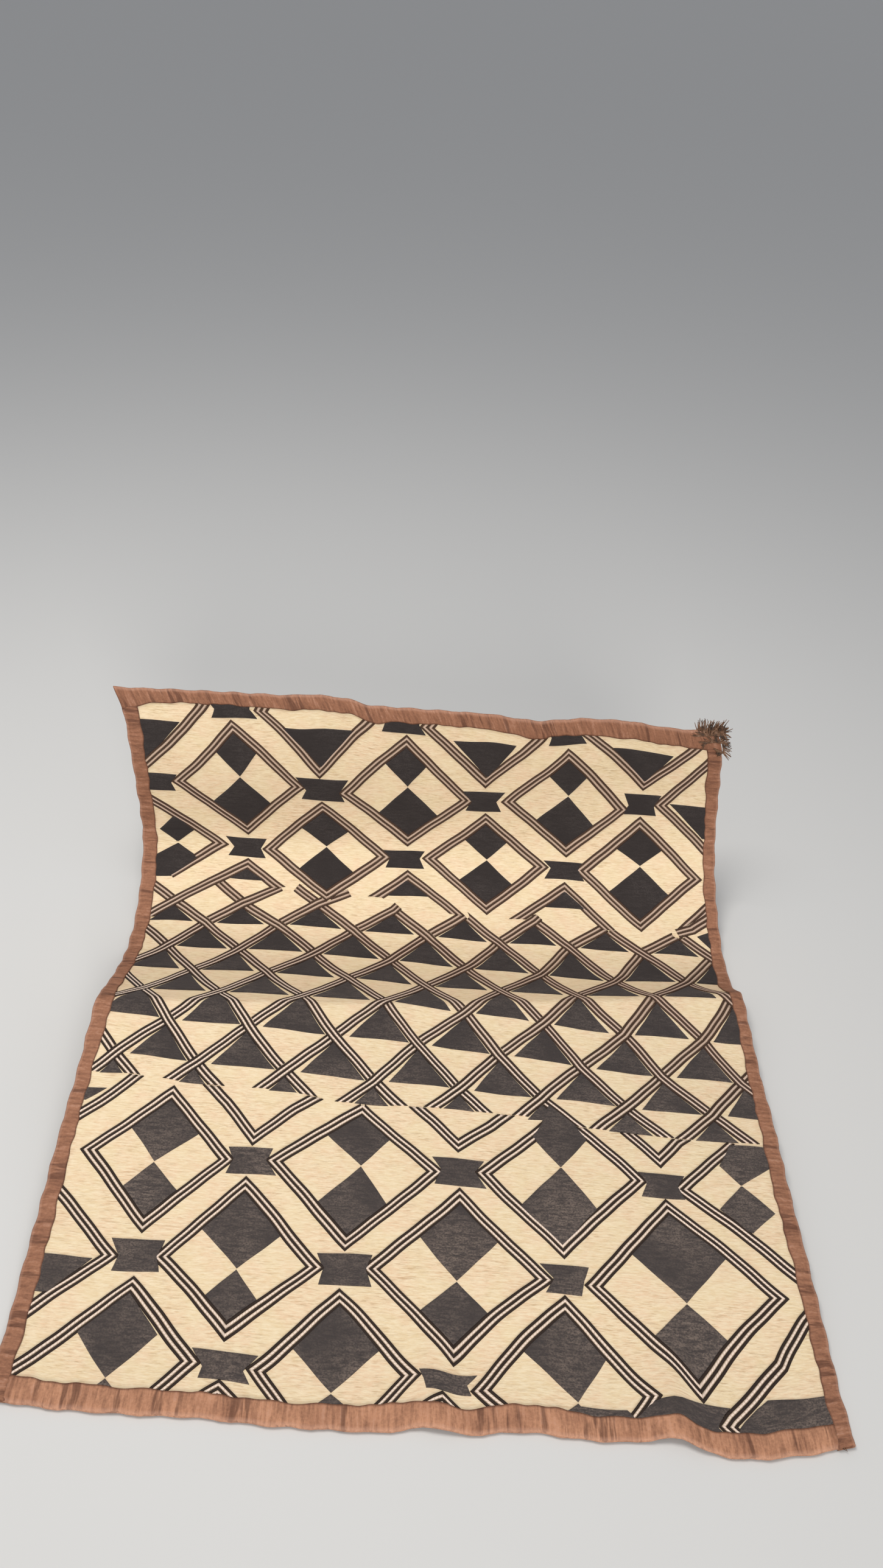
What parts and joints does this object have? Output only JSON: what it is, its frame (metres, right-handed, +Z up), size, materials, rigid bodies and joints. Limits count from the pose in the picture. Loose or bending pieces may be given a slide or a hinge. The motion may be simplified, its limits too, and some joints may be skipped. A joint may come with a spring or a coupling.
{
  "type": "kuba raffia cloth",
  "caption": "Embroidered raffia panel with interlaced lozenges and folded brown raffia edges, lying with a raised fold ridge and its far end swept upright.",
  "frame": {"origin": "middle of the cloth's box, on the surface that it rests on", "axes": "+Z up, +X to the right along the near hem, +Y from the near hem towards the upright far end"},
  "size_m": [0.583, 0.5896, 0.21],
  "materials": {
    "embroidered_raffia": "natural straw raffia with charcoal cut pile and stitched lines",
    "brown_raffia": "red-brown woven raffia, folded and gathered",
    "dark_raffia": "dark dyed raffia ends"
  },
  "bodies": {
    "root": {"panel": "embroidered_raffia", "binding_left": "brown_raffia", "binding_right": "brown_raffia", "binding_near": "brown_raffia", "binding_far": "brown_raffia", "corner_tuft": "dark_raffia"}
  },
  "joints": []
}
